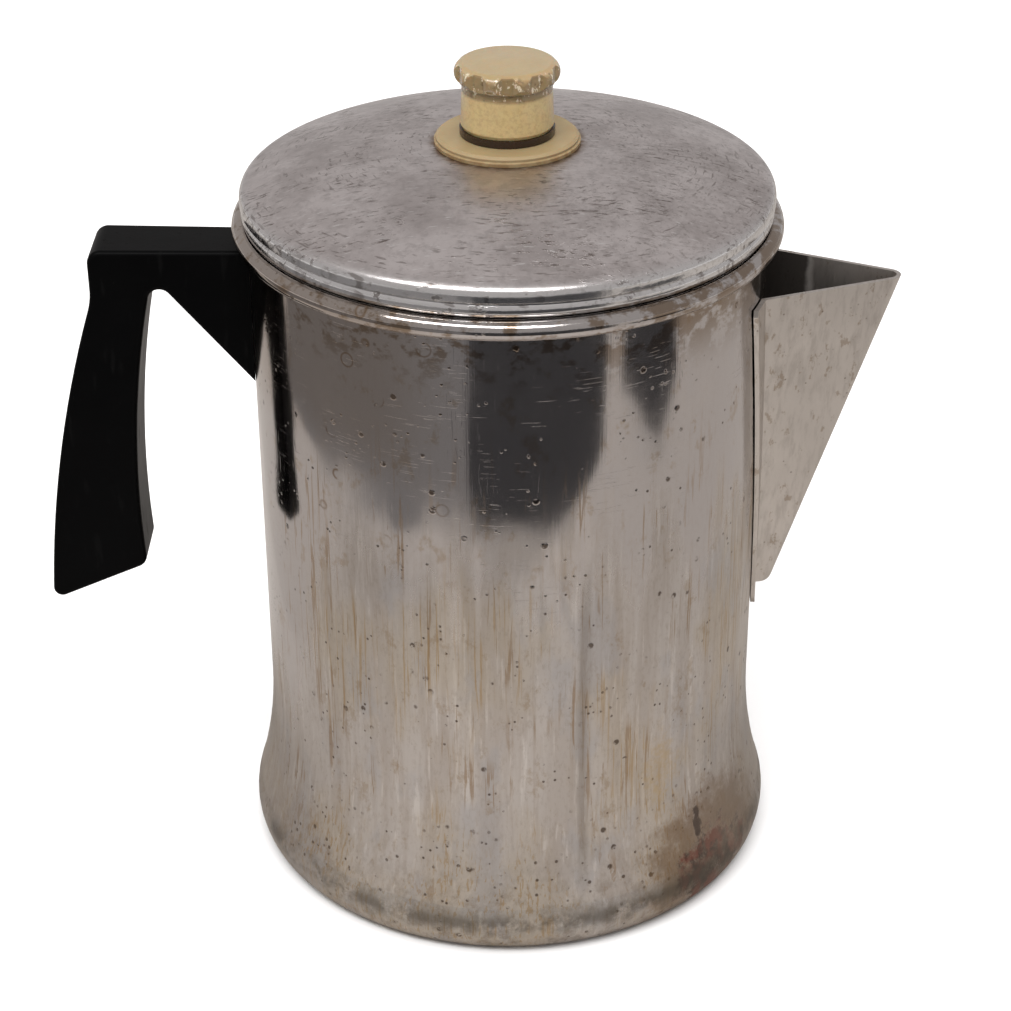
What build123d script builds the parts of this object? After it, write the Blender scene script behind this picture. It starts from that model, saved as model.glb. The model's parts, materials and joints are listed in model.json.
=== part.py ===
from build123d import *
import os
from math import asin, atan2, cos, hypot, radians, sin, sqrt, tan

# Stove-top coffee percolator, in millimetres.
# Frame: the origin is on the pot's axis in its base plane, +Z is up, the spout points to +X and
# the handle to -X. Turned pieces are drawn as (radius, height) and revolved about Z.

# ---- Driving dimensions ------------------------------------------------------------------
BODY_R = 70.0            # outside radius of the straight wall
WALL = 1.2               # drawn sheet of the body
FLOOR = 1.4              # thickness of the pot's bottom
FOOT_R = 76.3            # widest radius of the flared foot
RIM_Z = 191.4            # height of the rolled rim's centre line
RIM_ROLL_R = 2.7         # outside radius of the roll itself
FIT_GAP = 0.05           # between pieces that are fixed to each other
BODY_GAP = 0.3           # between pieces that move apart

LID_SHEET = 1.0
LID_LIP_Z = 194.5        # underside of the lid's lip
LID_SHOULDER_R = 72.0
LID_CROWN_Z = 213.0      # flat top that carries the knob
LID_HOLE_R = 12.0

STEM_R = 4.5             # outside radius of the riser tube
STEM_BORE_R = 3.75
STEM_TOP_Z = 221.0
PUMP_R = 33.0            # widest radius of the pump's base

BASKET_Z = 122.0         # underside of the basket
BASKET_H = 56.0
BASKET_R = 50.0          # outside radius at its floor
BASKET_SHEET = 0.8

SPOUT_TOP_Z = 176.0
SPOUT_TIP_X = 106.6
SPOUT_END_Z = 79.0       # lower end of the trough
SPOUT_END_X = 75.3       # front fold there
SPOUT_HALF_WIDTH = 19.0  # where the sides meet the body, at the top
SPOUT_END_HALF = 2.4
SPOUT_SHEET = 1.2
SPOUT_FLANGE = 6.0
SPOUT_STAND_OFF = 0.3    # solder under the flanges
SPOUT_TURN = -2.5        # degrees off the handle's line, as it was soldered on

HANDLE_TOP_Z = 185.0
HANDLE_THICK_BODY = 17.5
HANDLE_THICK_END = 20.5
HANDLE_END_X = -131.4
EDGE_ROUND = 1.3

KNOB_R = 12.3            # barrel
KNOB_TOP_Z = 235.7
KNOB_BORE_R = 9.2
KNOB_NECK_R = 10.8
KNOB_LOBES = 10
BAYONET_LUGS = 3


# ---- Shared helpers ----------------------------------------------------------------------
def lathe(outline):
    """Turn a closed outline of (radius, height) about the pot's axis."""
    return revolve(make_face(Plane.XZ * outline), Axis.Z)


def lathe_points(*points):
    """Turn a closed polygon of (radius, height) points."""
    return lathe(Polyline(*points, close=True))


def post(radius, low_z, high_z):
    """A round post between two heights."""
    return Pos(0, 0, low_z) * extrude(Circle(radius), high_z - low_z)


def ring(inner_r, outer_r, low_z, high_z):
    """A flat ring, or a tube, about the pot's axis."""
    return post(outer_r, low_z, high_z) - post(inner_r, low_z - 1, high_z + 1)


def around(shape, count, start=0.0):
    """Copies of a shape, evenly spaced about the pot's axis."""
    return [Rot(0, 0, start + 360 / count * index) * shape for index in range(count)]


def hole_rings(hole_r, low_z, high_z, rings):
    """Drills for a perforated disc; rings holds (ring radius, number of holes)."""
    drills = []
    for ring_r, count in rings:
        drill = Pos(ring_r, 0, 0) * post(hole_r, low_z, high_z)
        drills += around(drill, count, start=180 / count)
    return drills


# ---- Body --------------------------------------------------------------------------------
FOOT_CREASE_Z = 5.0
FOOT_WIDEST_Z = 9.0
FOOT_END_Z = 52.0        # where the flare has become the straight wall


def foot_line(inset, low_z):
    """The side from the base up to the straight wall, set in by the sheet's thickness."""
    base = (BODY_R + 2.2 - inset, low_z)
    bend = (FOOT_R - 1.7 - inset, (low_z + FOOT_CREASE_Z) / 2)
    crease = (FOOT_R - 0.6 - inset, FOOT_CREASE_Z)
    widest = (FOOT_R - inset, FOOT_WIDEST_Z)
    shoulder = (FOOT_R - 1.3 - inset, 15.0)
    wall = (BODY_R - inset, FOOT_END_Z)
    bead = ThreePointArc(base, bend, crease) + ThreePointArc(crease, widest, shoulder)
    return base, wall, bead + TangentArc(wall, shoulder, tangent=(0, -1))


def body_shell():
    """The drawn shell up to the rim's centre line."""
    outer_base, outer_wall, outer_foot = foot_line(0, 0)
    inner_base, inner_wall, inner_foot = foot_line(WALL, FLOOR)
    upper = Polyline(outer_wall, (BODY_R, RIM_Z), (BODY_R - WALL, RIM_Z), inner_wall)
    lower = Polyline(inner_base, (0, FLOOR), (0, 0), outer_base)
    return lathe(outer_foot + upper + inner_foot + lower)


def rim_roll():
    """The wall's edge curled outward, with the curl's open end under it."""
    centre_r = BODY_R - WALL + RIM_ROLL_R
    section = Circle(RIM_ROLL_R) - Circle(RIM_ROLL_R - WALL)
    mouth = Pos(0.1, -RIM_ROLL_R) * Rectangle(0.8, RIM_ROLL_R)
    return revolve(Plane.XZ * Pos(centre_r, RIM_Z) * (section - mouth), Axis.Z)


def spout_half_width(height):
    """Half the spout's width where it meets the body."""
    share = (height - SPOUT_END_Z) / (SPOUT_TOP_Z - SPOUT_END_Z)
    return SPOUT_HALF_WIDTH * share


def pouring_holes():
    """Staggered rows of small holes through the wall, inside the spout's triangle."""
    hole_r = 1.5
    pitch = 7.0
    drill = Rot(0, 90, 0) * extrude(Circle(hole_r), 14)
    turn = Rot(0, 0, SPOUT_TURN)
    drills = []
    for row in range(9):
        height = SPOUT_TOP_Z - 9.0 - pitch * row
        reach = spout_half_width(height) - 3.5
        shift = 0.0 if row % 2 else pitch / 2
        for column in range(-3, 4):
            offset = column * pitch + shift
            if abs(offset) <= reach:
                drills.append(turn * Pos(BODY_R - 8, offset, height) * drill)
    return drills


RIVET_R = 2.0
RIVET_HEIGHTS = (156.0, 166.5)


def rivet_holes(radius):
    """Drills for the bracket's rivets, through the body and the bracket."""
    drill = Rot(0, -90, 0) * extrude(Circle(radius), 14)
    return [Pos(-BODY_R + 7, 0, height) * drill for height in RIVET_HEIGHTS]


def make_body():
    """Drawn shell with a flared foot, a rolled rim, pouring holes and rivet holes."""
    return body_shell() + rim_roll() - pouring_holes() - rivet_holes(RIVET_R)


# ---- Spout -------------------------------------------------------------------------------
FOLD_R = 3.6             # front fold at the top, outside
END_FOLD_R = 1.3         # and at the lower end


def spout_section(height, half, front_x, fold_r):
    """The trough's outside at one height: straight sides to a rounded front fold at front_x."""
    back_x = BODY_R - 8.0
    joint_x = sqrt(BODY_R ** 2 - SPOUT_HALF_WIDTH ** 2)
    run = front_x - fold_r - joint_x
    side_angle = atan2(half, run) - asin(fold_r / hypot(run, half))
    corner_x = joint_x + half / tan(side_angle)
    corners = [(back_x, -half), (joint_x, -half), (corner_x, 0), (joint_x, half), (back_x, half)]
    flat = make_face(Polyline(*corners, close=True))
    fold = flat.vertices().sort_by(Axis.X)[-1]
    return Pos(0, 0, height) * fillet(fold, fold_r)


def spout_wedge(inset):
    """Solid wedge with the trough's outside as its skin, or set in by inset for the inside."""
    top = spout_section(SPOUT_TOP_Z + 0.01, SPOUT_HALF_WIDTH - 1.1 * inset,
                        SPOUT_TIP_X - inset, FOLD_R - inset)
    end = spout_section(SPOUT_END_Z + 2 * inset, SPOUT_END_HALF - inset,
                        SPOUT_END_X - inset, END_FOLD_R - 0.7 * inset)
    return loft([end, top], ruled=True)


def spout_side_limit():
    """Slab whose side view rounds the trough's lower corner."""
    round_r = 4.0
    lean = (SPOUT_TIP_X - SPOUT_END_X) / (SPOUT_TOP_Z - SPOUT_END_Z)
    centre_x = SPOUT_END_X + lean * round_r - round_r * sqrt(1 + lean ** 2)
    corner = Pos(centre_x, SPOUT_END_Z + round_r) * Circle(round_r)
    upper = Pos((SPOUT_TIP_X + 50) / 2, SPOUT_TOP_Z - 1) * Rectangle(SPOUT_TIP_X - 50, 2)
    lower = Pos(55, SPOUT_END_Z + 5) * Rectangle(10, 10)
    side = make_hull(corner.edges() + upper.edges() + lower.edges())
    return extrude(Plane.XZ * side, 40, both=True)


def make_spout():
    """One folded sheet: a V trough with flanges on the body and a rounded tab below."""
    seat_r = BODY_R + SPOUT_STAND_OFF
    tab = Pos(0, SPOUT_END_Z - 1.5) * Circle(SPOUT_FLANGE - 0.5)
    upper_edge = Pos(0, SPOUT_TOP_Z - 1) * Rectangle(2 * (SPOUT_HALF_WIDTH + SPOUT_FLANGE), 2)
    flange_outline = make_hull(tab.edges() + upper_edge.edges())
    flange = ring(seat_r, seat_r + SPOUT_SHEET, SPOUT_END_Z - 12, SPOUT_TOP_Z + 6)
    flange &= extrude(Plane.YZ * flange_outline, 2 * BODY_R)
    above = Pos(0, 0, SPOUT_TOP_Z + 5) * Box(300, 300, 10)
    trough = spout_wedge(0) & spout_side_limit()
    sheet = trough + flange - spout_wedge(SPOUT_SHEET) - post(seat_r, 0, SPOUT_TOP_Z + 20) - above
    return Rot(0, 0, SPOUT_TURN) * sheet


# ---- Handle and its fixing ---------------------------------------------------------------
TAB_Z = 172.0            # underside of the bracket's tab
TAB_THICK = 2.5
TAB_END_X = -88.5
SCREW_X = -81.5
SCREW_R = 2.0
PLATE_THICK = 1.5
PLATE_HALF = 6.0
PLATE_LOW_Z = 150.5
PLATE_HIGH_Z = 178.0
NUT_SIDE = 7.0
NUT_THICK = 3.2


def handle_side():
    """Side view in the XZ plane: a flat arm, a drooping grip and a web against the body."""
    inside_x = -BODY_R + 10
    arm_end = (-113.0, HANDLE_TOP_Z + 0.8)
    bend = (-113.0, 171.0)
    back_tip = (HANDLE_END_X, 76.9)
    palm_tip = (-103.5, 88.6)
    web_slope = 1.213
    web_corner = (-95.9, 178.0)
    web_foot = (inside_x, web_corner[1] - web_slope * (inside_x - web_corner[0]))
    arm = Polyline(web_foot, (inside_x, HANDLE_TOP_Z), arm_end, bend)
    back = ThreePointArc(bend, (-124.7, 127), back_tip)
    palm = ThreePointArc(palm_tip, (-103.1, 134), web_corner)
    side = make_face(arm + back + Line(back_tip, palm_tip) + palm + Line(web_corner, web_foot))
    corner_radii = [(arm_end, 3.8), (bend, 20.0), (back_tip, 2.5), (palm_tip, 3.5), (web_corner, 3.2)]
    for point, radius in corner_radii:
        corner = side.vertices().sort_by_distance((point[0], point[1], 0))[0]
        side = fillet(corner, radius)
    return side


def handle_blank():
    """The moulding before its pockets are cut, thicker towards its outer end."""
    slab = extrude(Plane.XZ * handle_side(), 15, both=True)
    wide = HANDLE_THICK_END / 2
    narrow = HANDLE_THICK_BODY / 2
    plan = Polyline((-50, narrow), (HANDLE_END_X - 5, wide), (HANDLE_END_X - 5, -wide),
                    (-50, -narrow), close=True)
    return slab & extrude(make_face(plan), 250)


def make_handle():
    """Black moulding with a recess for the bracket and a counterbore for its screw."""
    blank = handle_blank()
    side_faces = blank.faces().sort_by(Axis.Y)
    outer_edges = side_faces[0].edges() + side_faces[-1].edges()
    blank = fillet(outer_edges.filter_by(lambda edge: edge.center().X < -BODY_R), EDGE_ROUND)
    seat = post(BODY_R + 2 * FIT_GAP, 100, 200)
    recess_r = BODY_R + FIT_GAP + PLATE_THICK + 2 * FIT_GAP
    recess = post(recess_r, PLATE_LOW_Z - 0.3, PLATE_HIGH_Z + 0.3)
    recess &= Pos(-BODY_R, 0, 160) * Box(20, 2 * PLATE_HALF + 0.6, 80)
    rivet_relief = [Pos(-BODY_R, 0, height) * Rot(0, -90, 0) * extrude(Circle(4.0), 3.6)
                    for height in RIVET_HEIGHTS]
    slot_length = -BODY_R - TAB_END_X + 0.6
    slot_centre_x = TAB_END_X - 0.6 + slot_length / 2
    slot = Pos(slot_centre_x, 0, TAB_Z + TAB_THICK / 2)
    slot *= Box(slot_length, 2 * PLATE_HALF + 0.6, TAB_THICK + 0.2)
    nut_room = Pos(slot_centre_x + 1.5, 0, TAB_Z + TAB_THICK + NUT_THICK / 2)
    nut_room *= Box(slot_length - 3, NUT_SIDE + 0.4, NUT_THICK + 0.4)
    screw_way = Pos(SCREW_X, 0, 0) * post(SCREW_R + 0.2, 140, HANDLE_TOP_Z - 3)
    head_way = Pos(SCREW_X, 0, 0) * post(4.1, 140, TAB_Z - 4)
    return blank - seat - recess - rivet_relief - slot - nut_room - screw_way - head_way


def make_handle_bracket():
    """Curved plate on the body with a level tab that reaches into the handle."""
    seat_r = BODY_R + FIT_GAP
    plate = ring(seat_r, seat_r + PLATE_THICK, PLATE_LOW_Z, PLATE_HIGH_Z)
    tab = Pos(0, 0, TAB_Z) * extrude(Rectangle(-2 * TAB_END_X, 2 * PLATE_HALF), TAB_THICK)
    tab -= post(seat_r, TAB_Z - 1, TAB_Z + TAB_THICK + 1)
    bracket = (plate + tab) & Pos(-100, 0, 160) * Box(100, 2 * PLATE_HALF, 80)
    bracket -= Pos(SCREW_X, 0, 0) * post(SCREW_R + FIT_GAP, 160, 190)
    return bracket - rivet_holes(RIVET_R)


def rivet_head():
    """A shallow domed head on the XY plane, pointing up."""
    dome_r = 5.6
    height = 1.6
    return (Pos(0, 0, height - dome_r) * Sphere(dome_r)) & Pos(0, 0, height / 2) * Box(12, 12, height)


def make_bracket_rivets():
    """Two rivets: a shank through the wall and the plate, with a domed head at each end."""
    rivets = []
    inside_x = -(BODY_R - WALL) + 0.15
    outside_x = -(BODY_R + FIT_GAP + PLATE_THICK)
    shank_length = inside_x - outside_x + 1
    for height in RIVET_HEIGHTS:
        shank = Pos(outside_x - 0.5, 0, height) * Rot(0, 90, 0) * extrude(Circle(RIVET_R), shank_length)
        inner_head = Pos(inside_x, 0, height) * Rot(0, 90, 0) * rivet_head()
        outer_head = Pos(outside_x, 0, height) * Rot(0, -90, 0) * rivet_head()
        rivets.append(inner_head + shank + outer_head)
    return rivets


def make_handle_screw():
    """Pan-head machine screw, driven upward from under the web."""
    head_top = TAB_Z - 4 - FIT_GAP
    shank = post(SCREW_R, head_top - 1, TAB_Z + TAB_THICK + NUT_THICK + 1.5)
    head = post(3.6, head_top - 2.4, head_top)
    slot = Pos(0, 0, head_top - 2.4) * Box(9, 0.9, 1.8)
    return Pos(SCREW_X, 0, 0) * (fillet(head.edges().sort_by(Axis.Z)[0], 0.8) + shank - slot)


def make_handle_nut():
    """Square nut on top of the tab."""
    blank = extrude(Rectangle(NUT_SIDE, NUT_SIDE), NUT_THICK - 2 * FIT_GAP)
    blank = chamfer(blank.edges().filter_by(Axis.Z), 0.6)
    low_z = TAB_Z + TAB_THICK + FIT_GAP
    return Pos(SCREW_X, 0, low_z) * blank - Pos(SCREW_X, 0, 0) * post(SCREW_R, 160, 200)


# ---- Lid ---------------------------------------------------------------------------------
SKIRT_R = 67.6           # outside of the skirt that drops into the mouth
SKIRT_LOW_Z = 184.0
DOME_EDGE = (67.2, 203.7)


def make_lid():
    """One spun sheet: crown, dome, rounded shoulder, lip, and a skirt inside the mouth."""
    sheet = LID_SHEET
    crown_edge = (20.0, LID_CROWN_Z)
    shoulder_top = (71.0, 201.9)
    shoulder = (LID_SHOULDER_R - 0.3, 198.6)
    groove = (71.0, 197.7)
    lip_foot = (71.0, LID_LIP_Z)
    outer = Line((LID_HOLE_R, LID_CROWN_Z), crown_edge)
    outer += ThreePointArc(crown_edge, (45.5, 210.3), DOME_EDGE)
    outer += Spline(DOME_EDGE, shoulder_top, shoulder, tangents=((1, -0.35), (-0.15, -1)))
    outer += Line(shoulder, groove)
    outer += ThreePointArc(groove, (71.5, (LID_LIP_Z + 197.7) / 2), lip_foot)
    skirt = Polyline(lip_foot, (SKIRT_R, LID_LIP_Z), (SKIRT_R, SKIRT_LOW_Z),
                     (SKIRT_R - sheet, SKIRT_LOW_Z), (SKIRT_R - sheet, LID_LIP_Z + sheet),
                     (70.1, LID_LIP_Z + sheet), (70.1, 198.0))
    inner = Spline((70.1, 198.0), (70.1, 201.2), (66.8, 202.7),
                   tangents=((0.3, 1), (-1, 0.35)))
    inner += ThreePointArc((66.8, 202.7), (45.2, 209.3), (20.0, LID_CROWN_Z - sheet))
    inner += Line((20.0, LID_CROWN_Z - sheet), (LID_HOLE_R, LID_CROWN_Z - sheet))
    inner += Line((LID_HOLE_R, LID_CROWN_Z - sheet), (LID_HOLE_R, LID_CROWN_Z))
    return lathe(outer + skirt + inner)


# ---- Knob and its bayonet ----------------------------------------------------------------
COLLAR_R = 19.5
COLLAR_TOP_Z = 215.45
FERRULE_R = 11.9         # outside of the ring's tube, inside the lid and the collar
RING_FLANGE_Z = 210.3
LUG_R = 13.0
LUG_TOP_Z = RING_FLANGE_Z - BODY_GAP
NECK_LOW_Z = LUG_TOP_Z - 2.0
GASKET_TOP_Z = 217.4
CROWN_Z = 230.2          # underside of the knob's lobed crown


def make_knob_collar():
    """Cream disc with a stepped edge."""
    low_z = LID_CROWN_Z + FIT_GAP
    return lathe_points((LID_HOLE_R, low_z), (COLLAR_R, low_z), (COLLAR_R, low_z + 0.9),
                        (COLLAR_R - 0.5, low_z + 1.2), (COLLAR_R - 0.5, low_z + 1.8),
                        (COLLAR_R - 1.3, COLLAR_TOP_Z), (LID_HOLE_R, COLLAR_TOP_Z))


def make_knob_retaining_ring():
    """Ferrule through the lid and collar, with a notched flange that holds the lugs."""
    bore_r = KNOB_NECK_R + BODY_GAP
    tube = ring(bore_r, FERRULE_R, RING_FLANGE_Z, COLLAR_TOP_Z)
    flange = ring(bore_r, 17.0, RING_FLANGE_Z, LID_CROWN_Z - LID_SHEET - FIT_GAP)
    notch = bayonet_sector(LUG_R + 0.5, 38, RING_FLANGE_Z - 1, LID_CROWN_Z)
    notch -= post(FERRULE_R, LID_CROWN_Z - LID_SHEET - FIT_GAP, LID_CROWN_Z)
    return tube + flange - around(notch, BAYONET_LUGS, start=60)


def bayonet_sector(radius, angle, low_z, high_z):
    """A pie slice, centred on +X, from inside the neck's wall out to a radius."""
    half = radians(angle / 2)
    reach = radius * 1.5
    slice_plan = make_face(Polyline((0, 0), (reach * cos(half), -reach * sin(half)),
                                    (reach * cos(half), reach * sin(half)), close=True))
    wedge = Pos(0, 0, low_z) * extrude(slice_plan, high_z - low_z)
    return (wedge & post(radius, low_z, high_z)) - post(KNOB_BORE_R + 0.4, low_z, high_z)


def make_knob_gasket():
    """Soft ring round the knob's neck, under its barrel."""
    return ring(KNOB_NECK_R + FIT_GAP, KNOB_R + 0.4, COLLAR_TOP_Z + 0.2, GASKET_TOP_Z)


def make_knob():
    """Clear moulded cup: neck with lugs, barrel, and a scalloped crown."""
    crown_r = KNOB_R + 1.7
    barrel_low_z = GASKET_TOP_Z + FIT_GAP
    barrel = lathe_points((KNOB_R - 0.4, barrel_low_z), (KNOB_R + 0.1, barrel_low_z + 1),
                          (KNOB_R - 0.3, CROWN_Z), (0, CROWN_Z), (0, barrel_low_z))
    crown_low_z = CROWN_Z - 0.6
    crown_edge = (KNOB_R - 0.4, KNOB_TOP_Z - 0.5)
    crown_profile = Polyline(crown_edge, (0, KNOB_TOP_Z), (0, crown_low_z), (KNOB_R - 0.6, crown_low_z))
    crown_profile += ThreePointArc((KNOB_R - 0.6, crown_low_z), (crown_r, CROWN_Z + 2.4), crown_edge)
    lobe_r = 3.0
    lobe = Pos(crown_r - lobe_r, 0, 0) * post(lobe_r, CROWN_Z - 1, KNOB_TOP_Z + 1)
    scallop = post(KNOB_R + 0.5, CROWN_Z - 1, KNOB_TOP_Z + 1) + around(lobe, KNOB_LOBES)
    crown = lathe(crown_profile) & scallop
    neck = post(KNOB_NECK_R, NECK_LOW_Z, barrel_low_z + 1)
    lug = bayonet_sector(LUG_R, 30, NECK_LOW_Z, LUG_TOP_Z)
    bore = post(KNOB_BORE_R, NECK_LOW_Z - 1, KNOB_TOP_Z - 2.5)
    bore = fillet(bore.edges().sort_by(Axis.Z)[-1], 2.0)
    return barrel + crown + neck + around(lug, BAYONET_LUGS) - bore


# ---- Pump --------------------------------------------------------------------------------
PLATE_Z = 3.6            # underside of the pump's base plate
CHAMBER_R = 10.5
CHAMBER_TOP_Z = 20.0
STEM_LOW_Z = 15.0
VALVE_R = 7.0
VALVE_TRAVEL = 1.5
INLET_R = 4.0
FOOT_BUMP_R = 2.0


def make_pump_stem():
    """Riser tube, open at both ends."""
    return ring(STEM_BORE_R, STEM_R, STEM_LOW_Z, STEM_TOP_Z)


def make_pump_dome():
    """Flared bell that traps the heated water and leads it into the tube."""
    sheet = 1.0
    outer = Spline((PUMP_R, 6.0), (26, 8.6), (CHAMBER_R + 2, 14.0), tangents=((-1, 0.1), (-0.7, 1)))
    inner = Spline((PUMP_R - 0.3, 5.0), (25.7, 7.6), (CHAMBER_R + 1.1, 13.4),
                   tangents=((-1, 0.1), (-0.7, 1)))
    top = Polyline((CHAMBER_R + 2, 14.0), (CHAMBER_R + 1, CHAMBER_TOP_Z), (STEM_R + 1, CHAMBER_TOP_Z + 2),
                   (STEM_R + 1, CHAMBER_TOP_Z + 12), (STEM_R, CHAMBER_TOP_Z + 12),
                   (STEM_R, CHAMBER_TOP_Z + 1), (CHAMBER_R, CHAMBER_TOP_Z - sheet),
                   (CHAMBER_R + 1.1, 13.4))
    hem = Polyline((PUMP_R - 0.3, 5.0), (PUMP_R - 0.3, PLATE_Z - 0.9), (PUMP_R + 0.7, PLATE_Z - 0.9),
                   (PUMP_R + 0.7, 6.0), (PUMP_R, 6.0))
    return lathe(outer + top + inner + hem)


def make_pump_base_plate():
    """Disc inside the dome's hem, with a central inlet and three feet."""
    plate = ring(INLET_R, PUMP_R - 0.3 - FIT_GAP, PLATE_Z, PLATE_Z + 1.0)
    foot_low_z = FLOOR + BODY_GAP
    foot = Pos(PUMP_R - 8, 0, 0) * post(FOOT_BUMP_R, foot_low_z, PLATE_Z + 0.5)
    return plate + around(foot, 3)


def make_pump_valve():
    """Loose disc over the inlet."""
    low_z = PLATE_Z + 1.0 + 0.1
    return fillet(post(VALVE_R, low_z, low_z + 1.0).edges(), 0.3)


def make_valve_guard():
    """Three-legged cage that lets the disc rise a little and keeps it over the inlet."""
    low_z = PLATE_Z + 1.0 + FIT_GAP
    roof_z = low_z + 1.05 + VALVE_TRAVEL + 0.35
    roof = ring(3.0, VALVE_R + 2.0, roof_z, roof_z + 0.8)
    leg = Pos(VALVE_R + 1.0, 0, 0) * post(0.6, low_z, roof_z + 0.4)
    return roof + around(leg, 6)


def make_basket_stop():
    """Ring pressed on the tube; the basket rests on it."""
    high_z = BASKET_Z - BODY_GAP
    return lathe_points((STEM_R, high_z - 5), (STEM_R + 1.2, high_z - 5), (STEM_R + 3.4, high_z - 1.5),
                        (STEM_R + 3.4, high_z), (STEM_R, high_z))


# ---- Basket ------------------------------------------------------------------------------
BASKET_TOP_Z = BASKET_Z + BASKET_H
BASKET_FLARE = 1.6       # how much wider the mouth is than the floor
BASKET_BEAD_R = 1.2
SLEEVE_R = 5.9
SLEEVE_BORE_R = 4.95


def make_basket():
    """Straight cup with a perforated floor, a lower row of side holes and a beaded mouth."""
    sheet = BASKET_SHEET
    mouth_r = BASKET_R + BASKET_FLARE
    cup = lathe_points((SLEEVE_R, BASKET_Z), (BASKET_R - 2, BASKET_Z), (BASKET_R, BASKET_Z + 2),
                       (mouth_r, BASKET_TOP_Z - 1), (mouth_r - sheet, BASKET_TOP_Z - 1),
                       (BASKET_R - sheet, BASKET_Z + 2.4), (BASKET_R - 2.4, BASKET_Z + sheet),
                       (SLEEVE_R, BASKET_Z + sheet))
    bead = Pos(mouth_r + BASKET_BEAD_R - sheet, 0) * Pos(0, BASKET_TOP_Z - BASKET_BEAD_R)
    cup += revolve(Plane.XZ * bead * Circle(BASKET_BEAD_R), Axis.Z)
    rings = [(13, 10), (20, 16), (27, 22), (34, 28), (41, 34)]
    floor_holes = hole_rings(1.1, BASKET_Z - 1, BASKET_Z + 2, rings)
    side_drill = Pos(BASKET_R - 4, 0, BASKET_Z + 7) * Rot(0, 90, 0) * extrude(Circle(1.1), 8)
    return cup - floor_holes - around(side_drill, 24)


def make_basket_sleeve():
    """Tube swaged into the basket's floor; it slides over the pump's tube."""
    tube = ring(SLEEVE_BORE_R, SLEEVE_R - FIT_GAP, BASKET_Z, BASKET_TOP_Z - 7)
    swage_z = BASKET_Z + BASKET_SHEET + FIT_GAP
    return tube + ring(SLEEVE_BORE_R, SLEEVE_R + 1.5, swage_z, swage_z + 0.8)


def make_spreader():
    """Perforated cover: a dished disc whose rim rests on the basket's bead."""
    sheet = 0.8
    seat_z = BASKET_TOP_Z + BODY_GAP
    skirt_r = BASKET_R + BASKET_FLARE - BASKET_SHEET - 0.5
    rim_r = BASKET_R + BASKET_FLARE + 1.6
    collar_r = SLEEVE_BORE_R
    disc_z = seat_z - 4.5
    disc = lathe_points((collar_r, disc_z), (skirt_r, disc_z), (skirt_r, seat_z), (rim_r, seat_z),
                        (rim_r, seat_z + sheet), (skirt_r - sheet, seat_z + sheet),
                        (skirt_r - sheet, disc_z + sheet), (collar_r + sheet, disc_z + sheet),
                        (collar_r + sheet, disc_z + 4), (collar_r, disc_z + 4))
    rings = [(12, 10), (20, 16), (28, 22), (36, 28), (44, 34)]
    return disc - hole_rings(0.9, disc_z - 1, disc_z + 2, rings)


# ---- Write every piece -------------------------------------------------------------------
PIECES = {
    "body": make_body,
    "spout": make_spout,
    "handle": make_handle,
    "handle_bracket": make_handle_bracket,
    "bracket_rivets": make_bracket_rivets,
    "handle_screw": make_handle_screw,
    "handle_nut": make_handle_nut,
    "lid": make_lid,
    "knob_collar": make_knob_collar,
    "knob_retaining_ring": make_knob_retaining_ring,
    "knob_gasket": make_knob_gasket,
    "knob": make_knob,
    "pump_stem": make_pump_stem,
    "pump_dome": make_pump_dome,
    "pump_base_plate": make_pump_base_plate,
    "valve_guard": make_valve_guard,
    "pump_valve": make_pump_valve,
    "basket_stop": make_basket_stop,
    "basket": make_basket,
    "basket_sleeve": make_basket_sleeve,
    "spreader": make_spreader,
}

os.makedirs("parts", exist_ok=True)
for name, make in PIECES.items():
    solids = make()
    if isinstance(solids, list):
        solids = Compound(children=solids)
    export_step(solids, f"parts/{name}.step")
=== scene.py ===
import json
from math import cos, degrees, radians, sin

import bpy
from mathutils import Matrix, Vector


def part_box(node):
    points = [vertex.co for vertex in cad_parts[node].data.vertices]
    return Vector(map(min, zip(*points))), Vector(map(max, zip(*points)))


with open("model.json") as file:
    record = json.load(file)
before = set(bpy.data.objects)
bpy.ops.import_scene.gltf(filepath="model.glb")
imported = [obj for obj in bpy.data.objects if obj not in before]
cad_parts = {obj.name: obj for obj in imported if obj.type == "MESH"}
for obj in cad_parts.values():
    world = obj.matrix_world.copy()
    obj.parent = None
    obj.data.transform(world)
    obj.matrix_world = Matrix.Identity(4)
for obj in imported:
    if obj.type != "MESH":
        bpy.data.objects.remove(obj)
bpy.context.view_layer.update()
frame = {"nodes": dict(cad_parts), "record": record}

MM = 0.001


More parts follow.
